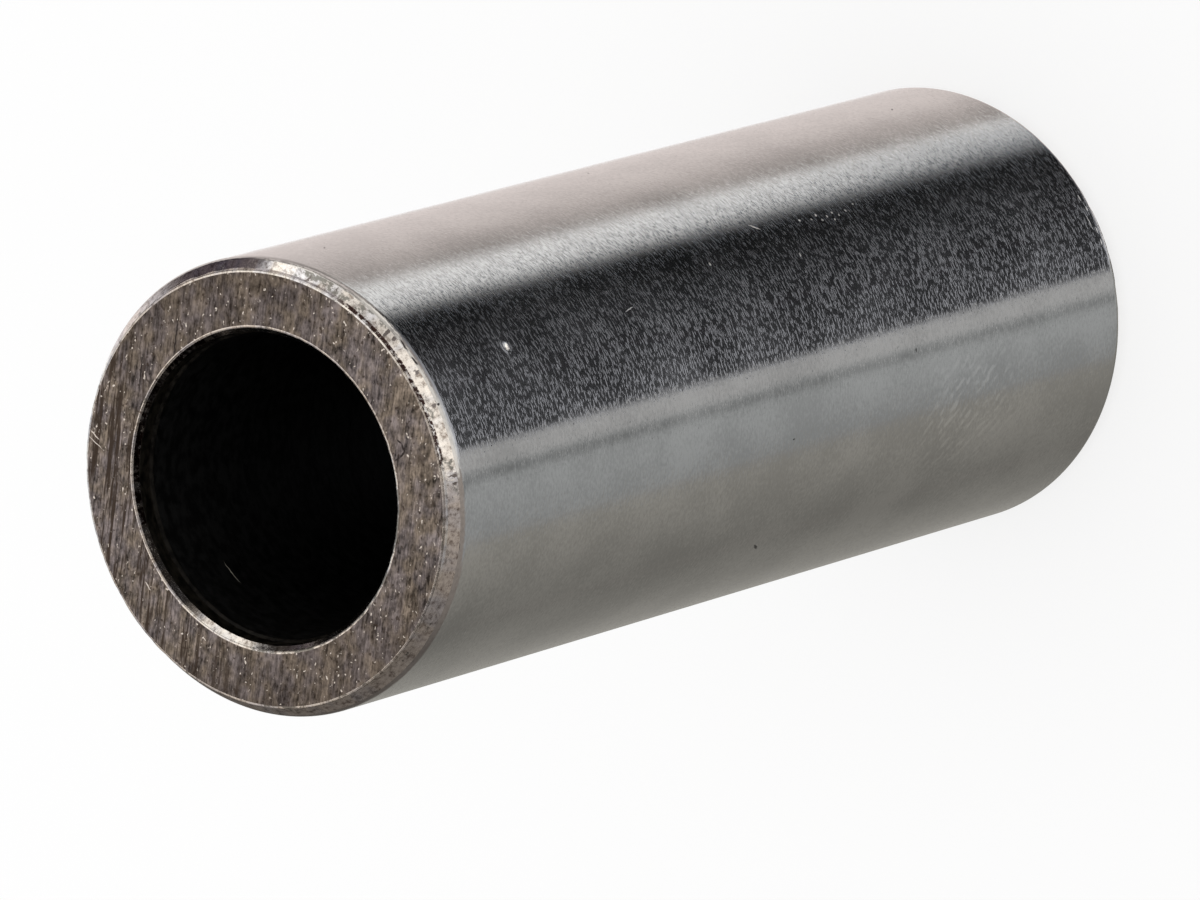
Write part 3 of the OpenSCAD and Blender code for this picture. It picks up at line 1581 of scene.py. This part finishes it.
# Each panel is laid over the ones before it.
STUDIO = (
    Panel("back cloth", (140.0, 220.0), (-25.0, 40.0), (0.65, 0.65), Tint.WHITE, (15.0, 15.0)),
    Panel("front softbox", (-16.0, 46.0), WALL, (1.12, 0.98), Tint.CREAM, (2.0, 1.5)),
    Panel("side cloth", (49.0, 84.0), WALL, (0.78, 0.85), Tint.CREAM, (1.5, 3.0)),
    Panel("side lamp", (84.0, 106.0), WALL, (1.4, 1.4), Tint.CREAM),
    Panel("left cloth", (-100.0, -16.0), (-52.0, 60.0), (0.13, 0.46), Tint.BROWN, (6.0, 2.0)),
    Panel("side shade", (40.0, 69.0), (22.0, 60.0), (0.04, 0.04), Tint.BROWN, (9.0, 8.0), 3.0),
    Panel("dark corner", (107.0, 150.0), (-25.0, 60.0), (0.08, 0.06), Tint.PLUM, (3.0, 12.0)),
    Panel("corner top", (100.0, 150.0), (5.0, 60.0), (0.05, 0.03), Tint.BROWN, (3.0, 12.0), 3.0),
    Panel("low corner", (-181.0, -96.0), (-52.0, 6.0), (0.1, 0.16), Tint.BROWN, (2.0, 8.0)),
    Panel("side belt", (70.0, 112.0), (-25.0, -8.0), (0.9, 0.9), Tint.ROSE, (4.0, 4.0), 3.0),
    Panel("belt hem", (86.0, 112.0), (-13.0, -7.5), (0.16, 0.16), Tint.BROWN, (3.0, 4.0), 2.0),
    Panel("belt hem top", (66.0, 86.0), (-5.0, 0.5), (0.16, 0.16), Tint.BROWN, (3.0, 3.0), 2.0),
    Panel("front cloth", (-12.0, 18.0), BELT, (1.0, 0.9), Tint.WHITE, (2.0, 8.0)),
    Panel("front gap", (24.0, 47.0), BELT, (0.4, 0.4), Tint.ROSE, (6.0, 2.0)),
    Panel("front slit", (47.0, 68.0), BELT, (1.25, 1.25), Tint.CREAM, (2.0, 4.0)),
    Panel("table", (166.0, 179.0), LOW, (1.2, 1.2), Tint.WHITE, (3.0, 1.5)),
    Panel("overhead cloth", (108.0, 166.0), LOW, (0.85, 0.85), Tint.ROSE, (22.0, 3.0)),
    Panel("near wall", (-181.0, -105.0), (-100.0, -42.0), (0.4, 0.22), Tint.KHAKI, (2.0, 3.0)),
    Panel("brown wall", (-105.0, -55.0), (-100.0, -42.0), (0.22, 0.38), Tint.KHAKI),
    Panel("grey wall", (-55.0, -8.0), LOW, (0.38, 0.54), Tint.COOL),
    Panel("wall hem", (-19.0, -8.0), LOW, (0.53, 0.53), Tint.WHITE, (2.0, 2.0)),
    Panel("seam", (-25.0, -20.0), LOW, (0.28, 0.28), Tint.COOL, (2.0, 2.0)),
    Panel("card frame", (-8.0, 46.0), LOW, (0.82, 0.34), Tint.SLATE, (2.0, 2.0)),
    Panel("card frame top", (46.0, 64.0), LOW, (0.24, 0.0), Tint.SLATE, (3.0, 2.0)),
    Panel("dark gap", (64.0, 90.0), (-100.0, -43.0), (0.02, 0.02), Tint.SLATE, (2.0, 2.0)),
    Panel("dark card", (-8.0, 90.0), (-62.0, -48.0), (0.035, 0.0), Tint.SLATE, (2.0, 2.0), 3.5),
    Panel("strip lamp", (71.4, 93.0), (-100.0, -43.0), (1.0, 1.3), Tint.WHITE, (7.0, 6.0), 6.0),
    Panel("strip foot", (71.4, 93.0), (-100.0, -55.6), (0.16, 0.2), Tint.BLUE, (7.0, 6.0), 1.0),
    Panel("blue card", (45.0, 115.0), (-120.0, -76.0), (0.06, 0.06), Tint.SLATE, (12.0, 12.0)),
    Panel("back roof", ALL_ROUND, (0.0, 150.0), (0.36, 0.36), Tint.BROWN, from_eaves=True),
    Panel("dark roof", (-145.0, 64.0), (0.0, 24.0), (0.01, 0.02), Tint.BROWN, (12.0, 6.0), from_eaves=True),
    Panel("left roof", (-165.0, -60.0), (40.0, 80.0), (0.1, 0.1), Tint.BROWN, (8.0, 8.0)),
    Panel("face cloth", (140.0, 214.0), (33.0, 74.0), (0.8, 0.8), Tint.BROWN, (8.0, 8.0), 5.0),
    Panel("high lamp", (69.0, 99.0), (12.0, 50.0), (1.0, 1.0), Tint.CREAM, (5.0, 4.0)),
    Panel("back lamp", (116.0, 154.0), (46.0, 74.0), (1.1, 1.1), Tint.CREAM),
    Panel("skylight", ALL_ROUND, (78.0, 120.0), (0.3, 0.3), Tint.BROWN),
)


@dataclass
class LightTent:
    """The studio: a white floor and the light tent that the steel mirrors.

    Directions are given round the pin from the camera's side, in degrees, growing towards +X.

    Attributes:
        panels: the tent's panels.
        shade: its colour between them.
        eaves_azimuth: where the sloping eaves start and end.
        eaves_deg: the eaves' elevation at either place.
        room: the even light that falls on the floor.
        white: what the camera sees behind the pin.
        paper: the floor's own colour.
        paper_glow: how far the floor is lit up for the camera.
        floor_half: half the floor's size, in metres.
        floor_gap_mm: how far the floor is below the pin.
    """

    panels: tuple[Panel, ...] = STUDIO
    shade: Colour = (0.36, 0.33, 0.31)
    eaves_azimuth: Span = (-125.0, -30.0)
    eaves_deg: Span = (-4.0, 28.0)
    room: Colour = (0.9, 0.9, 0.9)
    white: Colour = (1.0, 1.0, 1.0)
    paper: Colour = (0.3, 0.3, 0.3)
    paper_glow: Colour = (0.73, 0.73, 0.73)
    floor_half: float = 2.0
    floor_gap_mm: float = 0.02

    def hang(self) -> None:
        """Makes the world: white to the camera, even to the floor, and the tent to the steel."""
        world = bpy.data.worlds.new("light_tent")
        bpy.context.scene.world = world
        world.use_nodes = True
        world.cycles.sampling_method = "NONE"
        bench = NodeBench(world.node_tree)
        path = bench.node("ShaderNodeLightPath")
        shaders = []
        for colour in (self.white, self.room, self.sky(bench)):
            made = bench.node("ShaderNodeBackground")
            bench.feed(made.inputs["Color"], colour)
            shaders.append(made.outputs[0])
        plain, even, tent = shaders
        glossy = bench.math("MAXIMUM", path.outputs["Is Glossy Ray"], path.outputs["Is Transmission Ray"])
        seen = bench.either(path.outputs["Is Camera Ray"], bench.either(glossy, even, tent), plain)
        bench.feed(bench.node("ShaderNodeOutputWorld").inputs["Surface"], seen)

    def sky(self, bench: NodeBench) -> bpy.types.NodeSocket:
        """Draws the tent by direction, panel over panel.

        Args:
            bench: the world's nodes.

        Returns:
            The tent's colour.
        """
        way = bench.node("ShaderNodeTexCoord").outputs["Generated"]
        parts = bench.node("ShaderNodeSeparateXYZ")
        bench.feed(parts.inputs[0], way)
        azimuth = bench.around_deg(way)
        lift = bench.math("DEGREES", bench.math("ARCSINE", parts.outputs["Z"]))
        eaves = bench.spread(azimuth, *self.eaves_azimuth, *self.eaves_deg, kind="LINEAR")
        over_eaves = bench.math("SUBTRACT", lift, eaves)
        colour: object = self.shade
        for panel in self.panels:
            colour = panel.paint(bench, azimuth, over_eaves if panel.from_eaves else lift, colour)
        return colour

    def lay_floor(self) -> bpy.types.Object:
        """Makes the white floor, which keeps the pin's soft shadow and isn't mirrored.

        Returns:
            The floor's object.
        """
        half = self.floor_half
        low = -self.floor_gap_mm * MM
        mesh = bpy.data.meshes.new("floor")
        corners = [(-half, -half, low), (half, -half, low), (half, half, low), (-half, half, low)]
        mesh.from_pydata(corners, [], [(0, 1, 2, 3)])
        floor = bpy.data.objects.new("floor", mesh)
        bpy.context.scene.collection.objects.link(floor)
        sheet = bpy.data.materials.new("white_paper")
        sheet.use_nodes = True
        bench = NodeBench(sheet.node_tree)
        path = bench.node("ShaderNodeLightPath")
        matt = bench.node("ShaderNodeBsdfDiffuse")
        bench.feed(matt.inputs["Color"], self.paper)
        glow = bench.node("ShaderNodeEmission")
        bench.feed(glow.inputs["Color"], self.paper_glow)
        both = bench.node("ShaderNodeAddShader")
        bench.feed(both.inputs[0], matt.outputs[0])
        bench.feed(both.inputs[1], glow.outputs[0])
        seen = bench.either(path.outputs["Is Camera Ray"], matt.outputs[0], both.outputs[0])
        bench.feed(bench.node("ShaderNodeOutputMaterial").inputs["Surface"], seen)
        mesh.materials.append(sheet)
        floor.visible_glossy = False
        return floor


def running_marks(radius: float, nick: Nick) -> tuple[Mark, ...]:
    """Lists the marks of use on the running surface.

    Args:
        radius: the surface's radius, in millimetres.
        nick: the dent in it.

    Returns:
        The nick's bare metal, scratches, wear beside the lower rim, specks of dirt, flakes on the upper
        blend and a scatter of scraped specks.
    """
    bare, scraped, dirt = MarkKind.BARE, MarkKind.SCRAPED, MarkKind.DIRT
    speck_long, speck_wide = 0.09, 0.08
    # Degrees round, millimetres below the upper end, length, width, slant in degrees and kind.
    listed = (
        (nick.around_deg, nick.below, 2 * nick.half_round, 0.2, 30.0, bare),
        (32.1, 16.76, 0.5, 0.06, 126.0, scraped),
        (21.1, 17.7, 0.15, 0.06, 20.0, scraped),
        (18.9, 9.6, 0.5, 0.04, 80.0, scraped),
        (25.0, 13.9, 0.12, 0.08, 0.0, scraped),
        (16.3, 30.75, 0.24, 0.07, 0.0, scraped),
        (13.0, 30.83, 0.18, 0.09, 0.0, scraped),
        (9.4, 30.67, 0.6, 0.04, -8.0, scraped),
        (6.8, 30.85, 0.22, 0.06, 0.0, scraped),
        (3.6, 30.85, 0.24, 0.07, 0.0, scraped),
        (67.6, 2.25, 0.25, 0.07, 55.0, dirt),
        (73.4, 14.9, 0.2, 0.06, 55.0, dirt),
        (63.4, 27.75, 0.24, 0.06, 55.0, dirt),
        (-55.2, 15.2, 0.42, 0.1, 123.0, dirt),
        (-10.4, 21.2, 0.13, 0.08, 0.0, dirt),
        (-24.4, 15.36, 0.1, 0.07, 90.0, dirt),
        (25.5, 0.29, 0.5, 0.06, 2.0, dirt),
        (20.6, 0.3, 0.36, 0.06, -3.0, dirt),
        (8.4, 0.33, 0.12, 0.08, 20.0, dirt),
    )
    # Degrees round, and millimetres below the upper end.
    specks = (
        (30.6, 18.7),
        (29.9, 19.2),
        (30.8, 19.5),
        (28.9, 19.6),
        (29.7, 19.9),
        (28.2, 20.1),
        (30.3, 20.2),
        (29.1, 20.4),
        (30.0, 20.8),
        (31.2, 21.3),
    )
    scatter = tuple((*spot, speck_long, speck_wide, 0.0, scraped) for spot in specks)
    return tuple(round_mark(radius, *values) for values in listed + scatter)


def lead_marks(radius: float) -> tuple[Mark, ...]:
    """Lists the marks of use on the upper lead chamfer.

    Args:
        radius: the radius that the chamfer is rolled out at, in millimetres.

    Returns:
        Two breaks that run down the slope, dark flakes along it and bright specks beside one break, which
        are painted glints.
    """
    bare, dirt = MarkKind.BARE, MarkKind.DIRT
    # Degrees round, millimetres below the upper end, length, width, slant in degrees and kind.
    listed = (
        (30.6, 0.19, 0.34, 0.13, 85.0, dirt),
        (-9.6, 0.27, 0.36, 0.1, 95.0, dirt),
        (-11.5, 0.29, 0.16, 0.1, 80.0, dirt),
        (8.6, 0.25, 0.16, 0.13, 60.0, dirt),
        (28.2, 0.23, 0.18, 0.1, 10.0, dirt),
        (18.0, 0.23, 0.16, 0.09, 20.0, dirt),
        (48.5, 0.18, 0.16, 0.09, 70.0, dirt),
        (57.0, 0.14, 0.18, 0.09, 110.0, dirt),
        # painted glints: these bright specks stand in for glints beside the break
        (-10.6, 0.2, 0.12, 0.07, 80.0, bare),
        (-12.4, 0.29, 0.09, 0.07, 0.0, bare),
        (-8.4, 0.3, 0.1, 0.06, 40.0, bare),
        (-14.8, 0.26, 0.07, 0.06, 0.0, bare),
    )
    return tuple(round_mark(radius, *values) for values in listed)


def face_marks() -> tuple[Mark, ...]:
    """Lists the marks of use on the upper end face, along +X and +Y in millimetres.

    Returns:
        Scratches, a curled hair of dirt, two dull spots, bright specks and two deep grinding lines.
    """
    bare, dirt, dull = MarkKind.BARE, MarkKind.DIRT, MarkKind.DULL
    # Middle, length, width, slant in degrees and kind.
    listed = (
        ((2.575, 4.83), 0.45, 0.045, 29.6, bare),
        ((2.375, 4.88), 0.66, 0.04, 38.0, bare),
        ((-1.56, 4.5), 0.34, 0.045, 21.8, bare),
        ((-0.17, -4.76), 0.12, 0.07, 10.0, bare),
        ((4.8, -0.12), 0.11, 0.07, 40.0, bare),
        ((1.02, 5.41), 0.08, 0.08, 0.0, bare),
        ((-2.98, 3.85), 0.1, 0.06, 70.0, bare),
        ((0.23, -4.615), 0.24, 0.065, 38.0, dirt),
        ((0.055, -4.68), 0.26, 0.065, 5.4, dirt),
        ((-0.11, -4.59), 0.29, 0.065, 121.0, dirt),
        ((-0.19, -4.4), 0.24, 0.06, 102.5, dirt),
        ((-0.33, -5.06), 0.46, 0.36, 90.0, dull),
        ((-1.5, -5.02), 0.4, 0.3, 90.0, dull),
        ((4.365, 1.41), 1.75, 0.055, 151.0, dirt),
        ((3.75, 2.83), 1.48, 0.055, 153.0, dirt),
    )
    return tuple(Mark(*values) for values in listed)


def steel_finishes(length: float, outer_r: float, bore_r: float, nick: Nick) -> dict[Zone, Finish]:
    """Chooses the finish of each cut.

    Args:
        length: the pin's length, in millimetres.
        outer_r: its outer radius.
        bore_r: the bore's radius.
        nick: the dent in the running surface.

    Returns:
        One finish for each zone.
    """
    cream = (0.86, 0.82, 0.77)
    fibre = round_mark(
        bore_r,
        around_deg=-153.0,
        below=2.32,
        long=0.88,
        wide=0.035,
        slant_deg=0.0,
        kind=MarkKind.BARE,
    )
    turned = {"radius": outer_r, "length": length}
    scale = {"metallic": 0.0, "radius": bore_r, "length": length, "bare": (0.45, 0.44, 0.36)}
    return {
        Zone.RUNNING: GroundRunningSurface(
            "ground_round",
            colour=(0.56, 0.555, 0.545),
            roughness=0.1,
            drawn_out=0.5,
            marks=running_marks(outer_r, nick),
            **turned,
        ),
        Zone.FACE: GroundEndFace(
            "ground_flat",
            colour=(0.218, 0.205, 0.194),
            roughness=0.34,
            marks=face_marks(),
            middle=length / 2,
        ),
        # partly painted highlight: the bevel at the face's outer edge catches the light, and its near-white
        # colour lightens that thin line further
        Zone.BURR: TurnedSteel(
            "burnished_burr",
            colour=(0.96, 0.93, 0.87),
            roughness=0.2,
            flaked_deg=(-115.0, -15.0),
            **turned,
        ),
        # painted shade: the land's darker stretch stands in for the shadow in the gap beside the face's
        # edge
        Zone.LAND: TurnedSteel(
            "scaled_land",
            colour=(0.78, 0.74, 0.68),
            roughness=0.25,
            darkened_deg=(-8.0, 47.0),
            **turned,
        ),
        Zone.LEAD: TurnedSteel(
            "turned_lead",
            colour=cream,
            roughness=0.16,
            marks=lead_marks(outer_r),
            dirt=(0.2, 0.18, 0.175),
            ragged=(14.0, 0.07),
            flaked_deg=(30.0, 60.0),
            **turned,
        ),
        Zone.MOUTH: TurnedSteel(
            "turned_mouth",
            colour=cream,
            roughness=0.1,
            dull_from=0.66,
            # a darker stretch of the mouth's edge break, from 92 to 184 degrees round
            darkened_deg=(92.0, 184.0),
            **turned,
        ),
        # dark scale made near black as painted shade: the recess and the deep bore are darkened where
        # little light reaches them
        Zone.RECESS: HeatScale(
            "scaled_recess",
            colour=(0.0055, 0.0047, 0.0036),
            roughness=0.35,
            **scale,
        ),
        Zone.BORE: HeatScale(
            "scaled_bore",
            colour=(0.004, 0.004, 0.004),
            roughness=0.5,
            marks=(fibre,),
            **scale,
        ),
    }


def measured_pin() -> GudgeonPin:
    """Takes the pin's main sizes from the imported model.

    Returns:
        The pin, ready to build.
    """
    low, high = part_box(NODE)
    mounts = {m["name"]: m for m in frame["record"]["mounts"]}
    length = (high[2] - low[2]) / MM
    outer_r = mounts["running_surface"]["dims"]["r_mm"]
    bore_r = mounts["through_bore"]["dims"]["r_mm"]
    nick = Nick()
    finishes = steel_finishes(length, outer_r, bore_r, nick)
    return GudgeonPin(length, outer_r, bore_r, nick=nick, finishes=finishes)


def main() -> None:
    """Builds the pin and its studio."""
    logging.basicConfig(level=logging.INFO, format="%(name)s: %(message)s")
    bpy.context.scene.view_settings.view_transform = "Standard"
    pin = measured_pin()
    piece = pin.build()
    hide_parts(NODE)
    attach(piece, "root")
    log.info("%s: %d faces", piece.name, len(piece.data.polygons))
    tent = LightTent()
    tent.hang()
    floor = tent.lay_floor()
    log.info("%s: laid", floor.name)
    camera = Viewpoint().place(pin)
    log.info("%s: placed", camera.name)
    bpy.context.view_layer.update()


if __name__ == "__main__":
    main()
